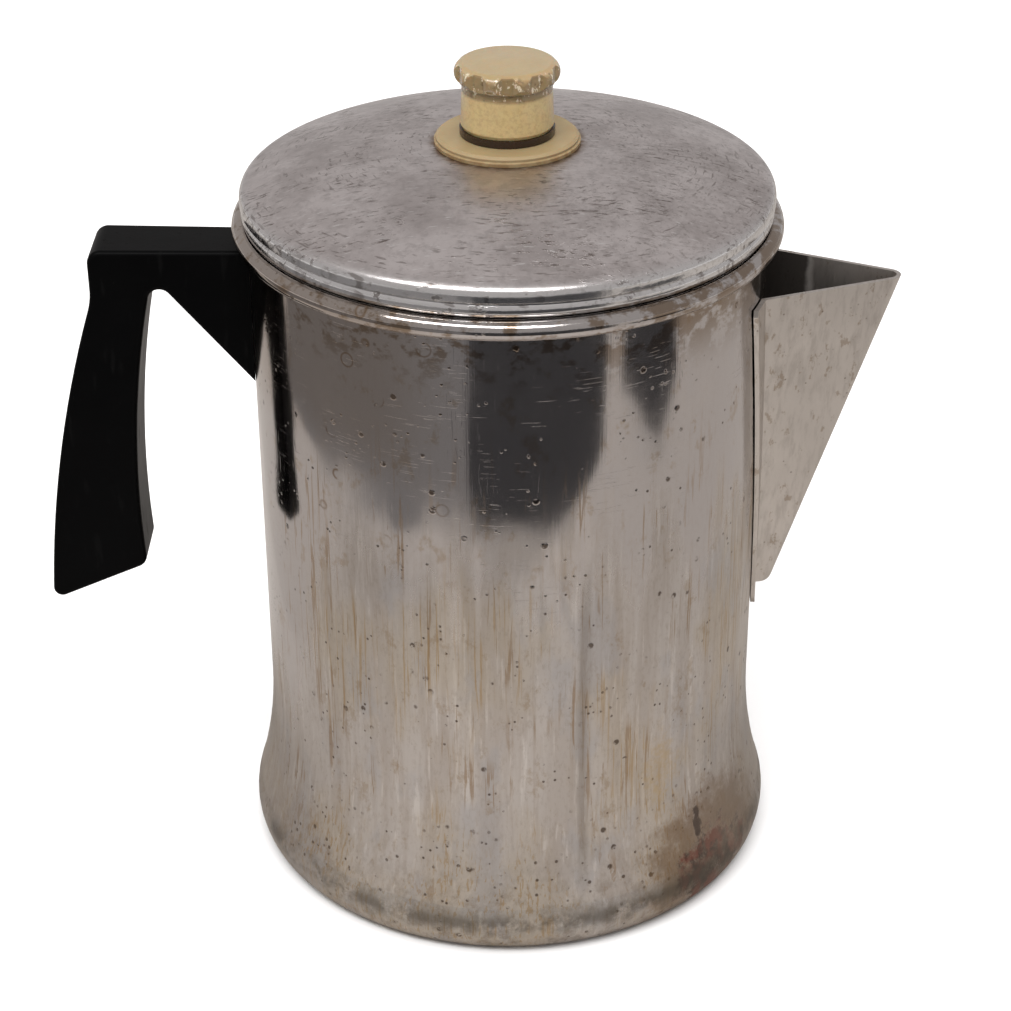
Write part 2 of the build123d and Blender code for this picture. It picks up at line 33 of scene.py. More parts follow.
# ---- Shader graphs -----------------------------------------------------------------------
class Graph:
    """One material's nodes, with short names for the ones used here. Sizes are in millimetres."""

    def __init__(self, name):
        self.material = bpy.data.materials.new(name)
        self.material.use_nodes = True
        self.tree = self.material.node_tree
        self.tree.nodes.clear()
        self.shader = self.tree.nodes.new("ShaderNodeBsdfPrincipled")
        output = self.tree.nodes.new("ShaderNodeOutputMaterial")
        self.join(self.shader.outputs["BSDF"], output.inputs["Surface"])
        coordinates = self.tree.nodes.new("ShaderNodeTexCoord")
        self.place = self.scaled(coordinates.outputs["Object"], (1000, 1000, 1000))
        split = self.tree.nodes.new("ShaderNodeSeparateXYZ")
        self.join(self.place, split.inputs[0])
        self.x, self.y, self.z = split.outputs
        split_normal = self.tree.nodes.new("ShaderNodeSeparateXYZ")
        self.join(coordinates.outputs["Normal"], split_normal.inputs[0])
        self.normal_y, self.normal_z = split_normal.outputs[1:]

    def join(self, source, target):
        if isinstance(source, bpy.types.NodeSocket):
            self.tree.links.new(source, target)
        else:
            target.default_value = source

    def math(self, operation, first, second=0.0):
        node = self.tree.nodes.new("ShaderNodeMath")
        node.operation = operation
        self.join(first, node.inputs[0])
        self.join(second, node.inputs[1])
        return node.outputs[0]

    def add(self, first, second):
        return self.math("ADD", first, second)

    def times(self, first, second):
        return self.math("MULTIPLY", first, second)

    def most(self, first, second):
        return self.math("MAXIMUM", first, second)

    def scaled(self, vector, scale):
        node = self.tree.nodes.new("ShaderNodeVectorMath")
        node.operation = "MULTIPLY"
        self.join(vector, node.inputs[0])
        node.inputs[1].default_value = scale
        return node.outputs[0]

    def noise(self, size, stretch=(1, 1, 1), detail=4.0, rough=0.55, bend=0.0, shift=0.0):
        """Cloudy noise, 0 to 1; size is the width of its blobs, and stretch their proportions."""
        node = self.tree.nodes.new("ShaderNodeTexNoise")
        scale = [1 / (size * part) for part in stretch]
        vector = self.scaled(self.place, scale)
        moved = self.tree.nodes.new("ShaderNodeVectorMath")
        self.join(vector, moved.inputs[0])
        moved.inputs[1].default_value = (shift, 1.7 * shift, 2.3 * shift)
        self.join(moved.outputs[0], node.inputs["Vector"])
        node.inputs["Scale"].default_value = 1.0
        node.inputs["Detail"].default_value = detail
        node.inputs["Roughness"].default_value = rough
        node.inputs["Distortion"].default_value = bend
        return node.outputs["Fac"]

    def turned_noise(self, width, length, shift=0.0):
        """Noise drawn out along circles round the axis: blobs of one width and a length in degrees."""
        reach = self.math("SQRT", self.add(self.times(self.x, self.x), self.times(self.y, self.y)))
        angle = self.math("ARCTAN2", self.y, self.x)
        join = self.tree.nodes.new("ShaderNodeCombineXYZ")
        self.join(self.times(reach, 1 / width), join.inputs[0])
        self.join(self.times(angle, degrees(1) / length), join.inputs[1])
        join.inputs[2].default_value = shift
        node = self.tree.nodes.new("ShaderNodeTexNoise")
        self.join(join.outputs[0], node.inputs["Vector"])
        node.inputs["Scale"].default_value = 1.0
        node.inputs["Detail"].default_value = 4.0
        return node.outputs["Fac"]

    def cells(self, size, shift=0.0):
        """Distance to the nearest of some scattered points, in cell sizes."""
        node = self.tree.nodes.new("ShaderNodeTexVoronoi")
        moved = self.tree.nodes.new("ShaderNodeVectorMath")
        self.join(self.scaled(self.place, (1 / size, 1 / size, 1 / size)), moved.inputs[0])
        moved.inputs[1].default_value = (shift, 1.3 * shift, 0.7 * shift)
        self.join(moved.outputs[0], node.inputs["Vector"])
        node.inputs["Scale"].default_value = 1.0
        return node.outputs["Distance"]

    def step(self, value, low, high):
        """0 below low, 1 above high, smooth between; low above high turns it round."""
        node = self.tree.nodes.new("ShaderNodeMapRange")
        node.interpolation_type = "SMOOTHSTEP"
        self.join(value, node.inputs["Value"])
        node.inputs["From Min"].default_value = min(low, high)
        node.inputs["From Max"].default_value = max(low, high)
        node.inputs["To Min"].default_value = 0.0 if low < high else 1.0
        node.inputs["To Max"].default_value = 1.0 if low < high else 0.0
        return node.outputs["Result"]

    def band(self, value, low, high, soft):
        """1 between low and high, falling to 0 over soft on either side of each."""
        return self.times(self.step(value, low - soft, low + soft),
                          self.step(value, high + soft, high - soft))

    def near(self, point, reach, soft, stretch=(1, 1, 1)):
        """1 within reach of a point, falling to 0 over soft."""
        node = self.tree.nodes.new("ShaderNodeVectorMath")
        node.operation = "DISTANCE"
        scale = [1 / part for part in stretch]
        self.join(self.scaled(self.place, scale), node.inputs[0])
        node.inputs[1].default_value = [value * part for value, part in zip(point, scale)]
        return self.step(node.outputs["Value"], reach + soft, reach)

    def mix(self, factor, first, second):
        node = self.tree.nodes.new("ShaderNodeMix")
        node.data_type = "RGBA"
        self.join(factor, node.inputs[0])
        for value, socket in ((first, node.inputs[6]), (second, node.inputs[7])):
            if isinstance(value, tuple):
                value = (*value, 1.0)
            self.join(value, socket)
        return node.outputs[2]

    def stain(self, colour, mask, strength, tint):
        """A colour with a tint laid over it where the mask is 1."""
        return self.mix(self.times(mask, strength), colour, tint)

    def blend(self, factor, first, second):
        """Number between first and second."""
        node = self.tree.nodes.new("ShaderNodeMix")
        for value, index in ((factor, 0), (first, 2), (second, 3)):
            self.join(value, node.inputs[index])
        return node.outputs[0]

    def bump(self, height, depth, under=None):
        """Normal from a height of 0 to 1 that is depth millimetres deep."""
        node = self.tree.nodes.new("ShaderNodeBump")
        node.inputs["Distance"].default_value = depth * MM
        self.join(height, node.inputs["Height"])
        if under is not None:
            self.join(under, node.inputs["Normal"])
        return node.outputs["Normal"]

    def finish(self, colour, rough, normal, **constants):
        self.join(colour, self.shader.inputs["Base Color"])
        self.join(rough, self.shader.inputs["Roughness"])
        self.join(normal, self.shader.inputs["Normal"])
        for name, value in constants.items():
            self.shader.inputs[name.replace("_", " ")].default_value = value
        return self.material


# ---- Metals ------------------------------------------------------------------------------
BARE = (0.70, 0.69, 0.685)
POLISHED = (0.49, 0.462, 0.45)
GREY_OXIDE = (0.56, 0.525, 0.495)
WORN = (0.42, 0.375, 0.34)
STREAK_BROWN = (0.40, 0.345, 0.30)
RUBBED_PALE = (0.74, 0.71, 0.68)
TAN_FILM = (0.50, 0.43, 0.325)
COOL_GREY = (0.43, 0.43, 0.45)
GRAIN_BROWN = (0.34, 0.285, 0.24)
TEA = (0.30, 0.185, 0.085)
AMBER_LINE = (0.40, 0.27, 0.13)
PIT_BROWN = (0.07, 0.045, 0.03)
RING_BROWN = (0.20, 0.12, 0.06)
BLOTCH_BROWN = (0.33, 0.24, 0.15)
# Brown of a tea film, darkened as a painted dark reflection too.
TEA_FILM_AND_REFLECTION = (0.30, 0.215, 0.14)
RIM_RESIDUE = (0.19, 0.125, 0.07)
SCORCH = (0.20, 0.125, 0.065)
SOOT = (0.016, 0.007, 0.005)
BURNT_RED = (0.085, 0.020, 0.012)
YELLOW_STAIN = (0.50, 0.37, 0.20)
DENT_SHADE = (0.22, 0.19, 0.165)
FOOT_GRIME = (0.19, 0.15, 0.11)
# Painted shade on the lower body, toward its sides and darker still at its outline.
SIDE_SHADE = (0.17, 0.135, 0.105)
LIMB_SHADE = (0.045, 0.036, 0.03)
SMOKE = (0.050, 0.040, 0.030)

SOOT_SPECULAR = 0.08     # soot hardly shines

# Heights and places on the pot, in millimetres.
DULL_Z = (140, 100)      # the polish fades out between these heights
SHOULDER_RISE = 18.5     # of the lid, above its lowest edge
BURNT_AT = (60, -47, 11)
RUN_AT = (54, -50, 29)
YELLOW_STAIN_AT = (43, -57, 50)
RUST_AT = (-72, -14, 190)
KNOB_SEAT_AT = (0, 0, 213)
DENT_X = 20.0


def scratches(g, size, thin, shift):
    """Short fine lines in scattered places, 0 to 1."""
    place = g.cells(size, shift=shift)
    sweep = g.noise(size * 0.6, stretch=thin, detail=2.0, shift=shift + 3)
    return g.times(g.step(sweep, 0.64, 0.70), g.step(place, 0.62, 0.35))


def body_sheet(g, clouds, wide_streaks, dull):
    """Streaked, tanned and greyed sheet; also gives its fine streaks and tan patches."""
    streaks = g.noise(2.6, stretch=(1, 1, 20), detail=6, bend=0.4)
    film = g.most(dull, g.times(g.step(clouds, 0.52, 0.70), 0.3))
    colour = g.mix(g.times(film, 0.9), POLISHED, GREY_OXIDE)
    colour = g.stain(colour, g.times(g.step(wide_streaks, 0.44, 0.60), dull), 0.42, WORN)
    colour = g.stain(colour, g.times(g.step(streaks, 0.44, 0.66), film), 0.38, STREAK_BROWN)
    pale = g.step(g.noise(1.9, stretch=(1, 1, 14), detail=5, shift=11), 0.56, 0.68)
    colour = g.stain(colour, g.times(pale, dull), 0.5, RUBBED_PALE)

    tan = g.step(g.noise(26, stretch=(1, 1, 1.8), detail=3, shift=31), 0.42, 0.62)
    colour = g.stain(colour, g.times(tan, dull), 0.42, TAN_FILM)
    cool = g.step(g.noise(13, stretch=(1, 1, 2.2), detail=4, shift=37), 0.52, 0.66)
    colour = g.stain(colour, cool, g.blend(dull, 0.15, 0.45), COOL_GREY)
    grain = g.noise(1.1, stretch=(1, 1, 2.5), detail=6, rough=0.75, shift=17)
    colour = g.stain(colour, g.step(grain, 0.48, 0.66), g.blend(dull, 0.12, 0.34), GRAIN_BROWN)
    return colour, streaks, tan


def coffee_drips(g, colour, dull, tan):
    """Runs of dried coffee down the wall."""
    lines = g.step(g.noise(1.5, stretch=(1, 1, 24), detail=4, bend=0.8, shift=6), 0.575, 0.63)
    place = g.step(g.noise(16, stretch=(1, 1, 2.4), shift=9), 0.44, 0.58)
    drips = g.times(g.times(lines, place), g.band(g.z, 14, 150, 20))
    colour = g.stain(colour, drips, 0.55, TEA)
    thin_lines = g.step(g.noise(0.75, stretch=(1, 1, 42), detail=4, bend=0.6, shift=26), 0.55, 0.62)
    colour = g.stain(colour, g.times(g.times(thin_lines, dull), tan), 0.6, AMBER_LINE)
    return colour, drips


def pits(g, cell_size, cell_shift, near_far, patch_size, patch_shift, patch):
    """Round spots in scattered patches; the last pair says how rare the patches are."""
    spots = g.step(g.cells(cell_size, shift=cell_shift), *near_far)
    return g.times(spots, g.step(g.noise(patch_size, shift=patch_shift), *patch))


def corrosion_pits(g, colour):
    """Small and large pits all over the wall, and more of them near the foot."""
    fine = pits(g, 2.6, 2, (0.20, 0.10), 11, 5, (0.52, 0.58))
    big = pits(g, 6.4, 3, (0.17, 0.10), 18, 15, (0.50, 0.56))
    specks = g.times(g.most(fine, big), g.step(g.noise(1.2, shift=7), 0.35, 0.5))
    foot = pits(g, 2.9, 13, (0.24, 0.12), 7, 14, (0.50, 0.58))
    specks = g.most(specks, g.times(foot, g.step(g.z, 56, 24)))
    return g.stain(colour, specks, 0.82, PIT_BROWN), specks


def upper_stains_and_reflection(g, colour, clouds, top):
    """Dried rings and a tea film with a painted dark reflection toward the handle, blotches, and brown
    deposits under the rim.
    """
    ring_edges = g.band(g.cells(8.5, shift=7), 0.20, 0.25, 0.025)
    upper_left = g.times(g.step(g.x, -8, -26), g.step(g.z, 118, 140))
    ring_place = g.times(g.step(g.noise(14, shift=12), 0.46, 0.54), upper_left)
    colour = g.stain(colour, g.times(ring_edges, ring_place), 0.75, RING_BROWN)

    blotch_noise = g.noise(7, stretch=(1, 1, 1.5), detail=6, rough=0.7, shift=21)
    colour = g.stain(colour, g.step(blotch_noise, 0.57, 0.66), 0.42, BLOTCH_BROWN)

    # Brown film toward the handle, partly tea and partly a painted dark reflection.
    film_edge = g.add(g.z, g.times(g.add(clouds, -0.5), 60))
    tea_film_and_reflection = g.times(g.step(g.x, -12, -34), g.step(film_edge, 136, 164))
    colour = g.stain(colour, tea_film_and_reflection, 0.38, TEA_FILM_AND_REFLECTION)

    below_rim = g.step(g.z, top - 26, top - 6)
    spout_side = g.blend(g.step(g.x, 10, 50), 0.0, 0.09)
    residue_noise = g.noise(6, stretch=(1, 1, 0.7), detail=6, rough=0.65, shift=1)
    residue_and_shade = g.step(g.add(residue_noise, spout_side), 0.50, 0.62)
    return g.stain(colour, g.times(below_rim, residue_and_shade), 0.75, RIM_RESIDUE)


def ragged_spot(g, point, reach, soft, stretch, ragged, amount):
    """Nearness to a point, broken up by a noise that varies round 0."""
    return g.add(g.near(point, reach, soft, stretch), g.times(ragged, amount))


def burns(g, colour):
    """The burnt patch near the foot on the spout's side, its scorch and run, and a yellow stain."""
    ragged = g.add(g.noise(6, detail=6, rough=0.68, shift=6), -0.5)
    burnt = g.step(ragged_spot(g, BURNT_AT, 8, 20, (1, 1, 0.75), ragged, 2.2), 0.50, 0.95)
    scorch = g.step(ragged_spot(g, BURNT_AT, 12, 34, (1, 1, 0.9), ragged, 1.3), 0.30, 0.9)
    colour = g.stain(colour, scorch, 0.72, SCORCH)
    run_edge = ragged_spot(g, RUN_AT, 1.5, 5, (0.6, 0.6, 2.2), ragged, 1.8)
    run = g.times(g.step(run_edge, 0.50, 0.80), 0.9)
    red = g.step(g.noise(4, detail=3, shift=41), 0.42, 0.58)
    colour = g.stain(colour, burnt, 0.97, g.mix(red, SOOT, BURNT_RED))
    colour = g.mix(run, colour, SOOT)

    fine_ragged = g.add(g.noise(5, detail=6, rough=0.7, shift=16), -0.5)
    yellow = ragged_spot(g, YELLOW_STAIN_AT, 0, 21, (0.7, 0.7, 1.5), fine_ragged, 3.0)
    return g.stain(colour, g.step(yellow, 0.50, 1.3), 0.55, YELLOW_STAIN), burnt, run


def dent_line(g, colour, streaks):
    """Painted shade along the upright dent in front, as a dark line."""
    across = g.band(g.add(g.x, g.times(streaks, 3)), DENT_X, DENT_X + 2.5, 1.2)
    dent = g.times(across, g.band(g.z, 22, 118, 12))
    return g.stain(colour, g.times(dent, g.step(g.y, -20, -40)), 0.5, DENT_SHADE)


def foot_dirt_and_shade(g, colour):
    """Grime on the flared foot, painted shade darker toward its sides and along its outline, and a
    smoky band above its edge.
    """
    grime = g.step(g.noise(4, detail=6, rough=0.7, shift=3), 0.44, 0.66)
    colour = g.stain(colour, g.times(g.step(g.z, 38, 0), grime), 0.55, FOOT_GRIME)
    # Painted shade: the lower body is darkened toward both sides, and darker still near its outline.
    aside = g.math("ABSOLUTE", g.x)
    sides = g.times(g.step(aside, 42, 74), g.step(g.z, 74, 34))
    colour = g.stain(colour, sides, 0.58, SIDE_SHADE)
    limb = g.times(g.step(aside, 66, 74), g.band(g.z, 34, 70, 10))
    colour = g.stain(colour, limb, 0.75, LIMB_SHADE)
    smoke_noise = g.noise(16, detail=6, rough=0.65, shift=2)
    smoke = g.times(g.band(g.z, 7.5, 14.0, 3.0), g.step(smoke_noise, 0.36, 0.56))
    return g.stain(colour, smoke, 0.80, SMOKE), smoke


def body_aluminium():
    """Old polished sheet: mirror-like near the rim, dull and streaked with coffee lower down."""
    g = Graph("body_aluminium")
    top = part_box("body")[1].z / MM
    clouds = g.noise(30, detail=6, rough=0.6)
    wide_streaks = g.noise(9, stretch=(1, 1, 8), detail=4, bend=0.4, shift=4)
    edge = g.add(g.z, g.times(g.add(wide_streaks, -0.5), -85))
    edge = g.add(edge, g.times(g.step(g.x, -44, -64), 55))
    dull = g.step(edge, *DULL_Z)

    colour, streaks, tan = body_sheet(g, clouds, wide_streaks, dull)
    colour, drips = coffee_drips(g, colour, dull, tan)
    colour, specks = corrosion_pits(g, colour)
    colour = upper_stains_and_reflection(g, colour, clouds, top)
    colour, burnt, run = burns(g, colour)
    colour = dent_line(g, colour, streaks)
    colour, smoke = foot_dirt_and_shade(g, colour)
    char = g.most(g.most(burnt, run), g.times(smoke, 0.6))    # where soot hides the metal

    rough = g.blend(dull, 0.09, 0.34)
    rough = g.add(rough, g.times(g.step(clouds, 0.40, 0.75), 0.08))
    rough = g.add(rough, g.times(drips, 0.08))
    rough = g.most(rough, g.times(char, 0.55))
    marks = g.most(scratches(g, 15, (1, 1, 0.035), 1), scratches(g, 21, (0.05, 0.6, 1), 8))
    normal = g.bump(g.noise(0.5, stretch=(1, 1, 60), detail=3), 0.010)
    normal = g.bump(marks, 0.010, normal)
    normal = g.bump(g.noise(24, stretch=(1, 1, 1.6), detail=1, shift=5), 0.55, normal)
    normal = g.bump(g.most(specks, burnt), 0.06, normal)
    g.join(g.blend(char, 1.0, 0.1), g.shader.inputs["Metallic"])
    return g.finish(colour, rough, normal, Specular_IOR_Level=SOOT_SPECULAR)


def spout_aluminium():
    """Dull folded sheet with rubbed marks and a few brown spots, and painted black shade deep inside
    near the body.
    """
    g = Graph("spout_aluminium")
    clouds = g.noise(15, detail=6, rough=0.6)
    rub = g.noise(2.4, stretch=(1, 1, 5), detail=6, rough=0.65, shift=3)
    colour = g.mix(clouds, (0.66, 0.618, 0.578), (0.55, 0.512, 0.475))
    colour = g.stain(colour, g.step(rub, 0.45, 0.68), 0.5, (0.40, 0.365, 0.335))
    spots = g.step(g.noise(3.2, stretch=(1, 1, 1.8), detail=5, rough=0.7, shift=9), 0.585, 0.65)
    colour = g.stain(colour, spots, 0.5, (0.27, 0.19, 0.12))
    nicks = pits(g, 2.3, 4, (0.16, 0.08), 8, 6, (0.5, 0.6))
    colour = g.stain(colour, nicks, 0.6, (0.14, 0.10, 0.07))
    # Painted shade: inside the trough next to the body the sheet is painted near black and made less
    # metallic, standing in for the shade there.
    inside = g.step(g.times(g.normal_y, g.y), 0.0, -1.5)
    residue_and_shade = g.times(inside, g.step(g.add(g.x, g.times(clouds, 5)), 87.5, 84.5))
    colour = g.stain(colour, residue_and_shade, 0.96, (0.012, 0.009, 0.007))
    rough = g.add(0.30, g.times(clouds, 0.16))
    normal = g.bump(g.noise(0.7, stretch=(1, 1, 4), detail=3), 0.010)
    normal = g.bump(scratches(g, 12, (0.06, 1, 1), 2), 0.03, normal)
    normal = g.bump(g.noise(16, detail=2, shift=2), 0.25, normal)
    g.join(g.blend(residue_and_shade, 1.0, 0.2), g.shader.inputs["Metallic"])
    return g.finish(colour, rough, normal, Specular_IOR_Level=SOOT_SPECULAR)


def lid_aluminium():
    """Spun sheet, greyed and rubbed, with dark dashes and a smoother shoulder."""
    g = Graph("lid_aluminium")
    shoulder_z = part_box("lid")[0].z / MM + SHOULDER_RISE
    clouds = g.noise(20, detail=6, rough=0.66)
    dull = g.step(g.z, shoulder_z - 2.0, shoulder_z + 1.0)
    colour = g.mix(g.step(clouds, 0.36, 0.64), (0.69, 0.64, 0.63), (0.51, 0.465, 0.455))
    mottle = g.noise(3.4, detail=6, rough=0.72, shift=6)
    colour = g.stain(colour, g.step(mottle, 0.46, 0.66), 0.35, (0.33, 0.30, 0.29))
    colour = g.mix(dull, BARE, colour)
    dash = g.noise(2.2, stretch=(1.9, 0.45, 1), detail=5, rough=0.7, shift=3)
    dash_place = g.step(g.noise(17, detail=4, shift=8), 0.42, 0.60)
    dashes = g.times(g.step(dash, 0.55, 0.62), dash_place)
    colour = g.stain(colour, dashes, 0.8, (0.16, 0.13, 0.115))
    arc_place = g.step(g.noise(15, detail=3, shift=18), 0.46, 0.60)
    arcs = g.times(g.step(g.turned_noise(0.9, 5.0, 3), 0.58, 0.64), arc_place)
    colour = g.stain(colour, arcs, 0.6, (0.17, 0.14, 0.125))
    grain = g.step(g.noise(1.3, detail=4, rough=0.75, shift=13), 0.53, 0.66)
    colour = g.stain(colour, g.times(grain, g.step(g.x, -10, 40)), 0.45, (0.20, 0.165, 0.145))
    pale = g.step(g.noise(1.5, stretch=(3.0, 0.5, 1), detail=3, shift=5), 0.63, 0.70)
    colour = g.stain(colour, g.times(pale, dull), 0.6, (0.82, 0.80, 0.79))
    seat = g.times(g.near(KNOB_SEAT_AT, 19.4, 2.6), g.step(g.noise(3, shift=2), 0.30, 0.58))
    colour = g.stain(colour, seat, 0.8, (0.18, 0.105, 0.05))
    colour = g.mix(g.near(RUST_AT, 1.6, 1.6), colour, (0.20, 0.09, 0.04))
    rough = g.blend(dull, 0.17, 0.36)
    rough = g.add(rough, g.times(g.add(clouds, -0.5), 0.14))
    normal = g.bump(g.noise(0.6, detail=3), 0.010)
    normal = g.bump(dashes, 0.03, normal)
    normal = g.bump(g.noise(16, detail=3, shift=2), 0.30, normal)
    return g.finish(colour, rough, normal, Metallic=1.0)


def inner_aluminium():
    """Thin satin sheet, stained by coffee."""
    g = Graph("inner_aluminium")
    clouds = g.noise(12, detail=5)
    stain = g.step(g.noise(7, stretch=(1, 1, 2), detail=4, shift=4), 0.48, 0.68)
    colour = g.mix(clouds, (0.68, 0.66, 0.63), (0.50, 0.48, 0.45))
    colour = g.stain(colour, stain, 0.55, (0.30, 0.20, 0.11))
    rough = g.add(0.26, g.times(clouds, 0.2))
    normal = g.bump(g.noise(0.6, stretch=(1, 1, 12), detail=2), 0.01)
    return g.finish(colour, rough, normal, Metallic=1.0)


def plated_steel():
    """Dull zinc plate, darkened in patches of rust."""
    g = Graph("plated_steel")
    clouds = g.noise(4, detail=5)
    colour = g.mix(clouds, (0.52, 0.51, 0.48), (0.34, 0.32, 0.29))
    rust = g.step(g.noise(2.2, shift=3), 0.60, 0.70)
    colour = g.stain(colour, rust, 0.5, (0.24, 0.12, 0.06))
    return g.finish(colour, g.add(0.32, g.times(clouds, 0.2)), g.bump(clouds, 0.02), Metallic=1.0)


# ---- Plastics and rubber -----------------------------------------------------------------
RESIN_SPECULAR = 0.04    # the handle shows almost black
CROWN_DEPTH = (8.5, 7.0)    # the knob's glassy crown begins between these depths below its top
DISC_DEPTH = (1.5, 0.7)     # and its flat disc between these


def black_phenolic():
    """Pressed black resin, semi-gloss, with faint scuffs."""
    g = Graph("black_phenolic")
    clouds = g.noise(18, detail=5)
    scuff = g.step(g.noise(2.5, stretch=(1, 1, 6), detail=4, shift=4), 0.60, 0.72)
    colour = g.mix(clouds, (0.0007, 0.0007, 0.0008), (0.0016, 0.0016, 0.0017))
    colour = g.stain(colour, scuff, 0.3, (0.006, 0.0058, 0.0058))
    rough = g.add(0.30, g.add(g.times(clouds, 0.16), g.times(scuff, 0.12)))
    normal = g.bump(g.noise(1.1, detail=3), 0.015)
    normal = g.bump(g.noise(12, detail=2, shift=3), 0.06, normal)
    return g.finish(colour, rough, normal, Specular_IOR_Level=RESIN_SPECULAR)


def cream_plastic():
    """Yellowed moulding with dirt in its step."""
    g = Graph("cream_plastic")
    low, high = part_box("knob_collar")
    clouds = g.noise(6, detail=5)
    colour = g.mix(clouds, (0.30, 0.225, 0.118), (0.23, 0.165, 0.082))
    in_step = g.step(g.z, high.z / MM - 0.4, low.z / MM + 0.6)
    dirt = g.times(in_step, g.step(g.noise(2.5, shift=2), 0.4, 0.6))
    colour = g.stain(colour, dirt, 0.6, (0.17, 0.09, 0.03))
    return g.finish(colour, g.add(0.34, g.times(clouds, 0.15)), g.bump(g.noise(1.4, detail=4), 0.03),
                    Subsurface_Weight=0.15, Subsurface_Scale=0.002)


def amber_plastic():
    """Once-clear moulding gone the colour of weak coffee: ribbed barrel lightened with painted light,
    glassy crazed crown darkened with painted shade.
    """
    g = Graph("amber_plastic")
    top_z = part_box("knob")[1].z / MM
    crown = g.step(g.z, *[top_z - depth for depth in CROWN_DEPTH])
    disc = g.step(g.z, *[top_z - depth for depth in DISC_DEPTH])
    clouds = g.noise(5, detail=5)
    mottle = g.step(g.noise(1.0, detail=6, rough=0.75, shift=5), 0.44, 0.64)
    # Painted light and shade: the barrel's colours are lighter, and the crown's rim and top darker,
    # for how the overhead lamp falls on them.
    barrel = g.mix(clouds, (0.53, 0.405, 0.195), (0.43, 0.315, 0.14))
    rim = g.mix(clouds, (0.36, 0.27, 0.145), (0.23, 0.165, 0.08))
    top = g.mix(clouds, (0.31, 0.235, 0.12), (0.25, 0.185, 0.09))
    colour = g.mix(crown, barrel, g.mix(disc, rim, top))
    colour = g.stain(colour, mottle, 0.45, (0.29, 0.20, 0.085))
    # Painted shade: steep faces of the crown are darkened into dark outlines.
    edge_shade = g.times(g.step(g.normal_z, 0.75, 0.25), crown)
    colour = g.stain(colour, edge_shade, 0.55, (0.17, 0.115, 0.05))
    glass = g.times(crown, g.math("SUBTRACT", 1.0, disc))
    # Painted highlights: pale glints laid into the colour of the glassy crown.
    glint_noise = g.noise(1.5, stretch=(1, 1, 2), detail=4, rough=0.7, shift=9)
    glints = g.times(g.step(glint_noise, 0.57, 0.62), glass)
    colour = g.stain(colour, glints, 0.6, (0.74, 0.67, 0.52))
    seams = g.times(g.step(g.noise(1.7, detail=3, shift=19), 0.40, 0.34), glass)
    colour = g.stain(colour, seams, 0.6, (0.10, 0.065, 0.03))
    rough = g.add(g.blend(crown, 0.30, 0.09), g.times(clouds, 0.10))
    ribs = g.noise(0.8, stretch=(1, 1, 14), detail=2, shift=4)
    normal = g.bump(g.noise(2.2, detail=4), 0.12)
    normal = g.bump(g.times(glass, g.noise(3.0, detail=2, shift=29)), 0.6, normal)
    normal = g.bump(ribs, 0.03, normal)
    return g.finish(colour, rough, normal, Subsurface_Weight=0.4, Subsurface_Scale=0.003,
                    Coat_Weight=0.7, Coat_Roughness=0.08)


def dark_rubber():
    """Perished rubber soaked with coffee."""
    g = Graph("dark_rubber")
    clouds = g.noise(2.5, detail=4)
    colour = g.mix(clouds, (0.010, 0.004, 0.002), (0.024, 0.010, 0.005))
    return g.finish(colour, g.add(0.16, g.times(clouds, 0.2)), g.bump(clouds, 0.3), Coat_Weight=0.2)


SLOT_MAKERS = {
    "body_aluminium": body_aluminium, "spout_aluminium": spout_aluminium,
    "lid_aluminium": lid_aluminium, "inner_aluminium": inner_aluminium,
    "plated_steel": plated_steel, "black_phenolic": black_phenolic, "cream_plastic": cream_plastic,
    "amber_plastic": amber_plastic, "dark_rubber": dark_rubber,
}
SHARED_SLOTS = {"rivet_aluminium": "inner_aluminium", "valve_aluminium": "inner_aluminium"}
materials = {slot: make() for slot, make in SLOT_MAKERS.items()}
node_slots = {part["node"]: part["material_slot"] for part in frame["record"]["subparts"]}


def slot_material(slot):
    return materials[SHARED_SLOTS.get(slot, slot)]


for node_name, node_object in frame["nodes"].items():
    node_object.data.materials.clear()
    node_object.data.materials.append(slot_material(node_slots[node_name]))


# ---- Stage, in metres --------------------------------------------------------------------
MATT = 0.9
FLOOR_WHITE = (0.93, 0.93, 0.93)
TABLE_TONE = (0.455, 0.425, 0.398)
DIM_TONE = (0.13, 0.125, 0.125)
DARK_TONE = (0.018, 0.018, 0.020)
WORLD_TONE = (0.50, 0.48, 0.475, 1)
FLOOR_REACH = 6
TABLE_REACH = 1.5
TABLE_EDGE_Y = -0.290    # the dark room begins past this edge
ROOM_SPLIT = (-0.080, TABLE_EDGE_Y)    # the dim room lies on the handle's side of this line
ROOM_FAR_SPLIT = (-0.75, -2.4)

# Heights of the sheets, one just above the other so that none share a plane.
FLOOR_Z = -0.0004
TABLE_Z = 0.0004
ROOM_Z = 0.0010
WEDGE_Z = 0.0022
# Where each darker part of the table begins, its share of the table's tone, and its height.
TABLE_SIDES = ((0.115, 0.90, 0.0006), (0.165, 0.80, 0.0008))

OVERHEAD_WATTS = 62
STRIP_WATTS = 19
CAMERA_TARGET = Vector((-0.00095, 0, 0.102))
CAMERA_DISTANCE = 0.7173
CAMERA_ELEVATION = radians(29.37)
CAMERA_ROLL = radians(-0.27)
CAMERA_LENS = 89.0
SENSOR_WIDTH = 36


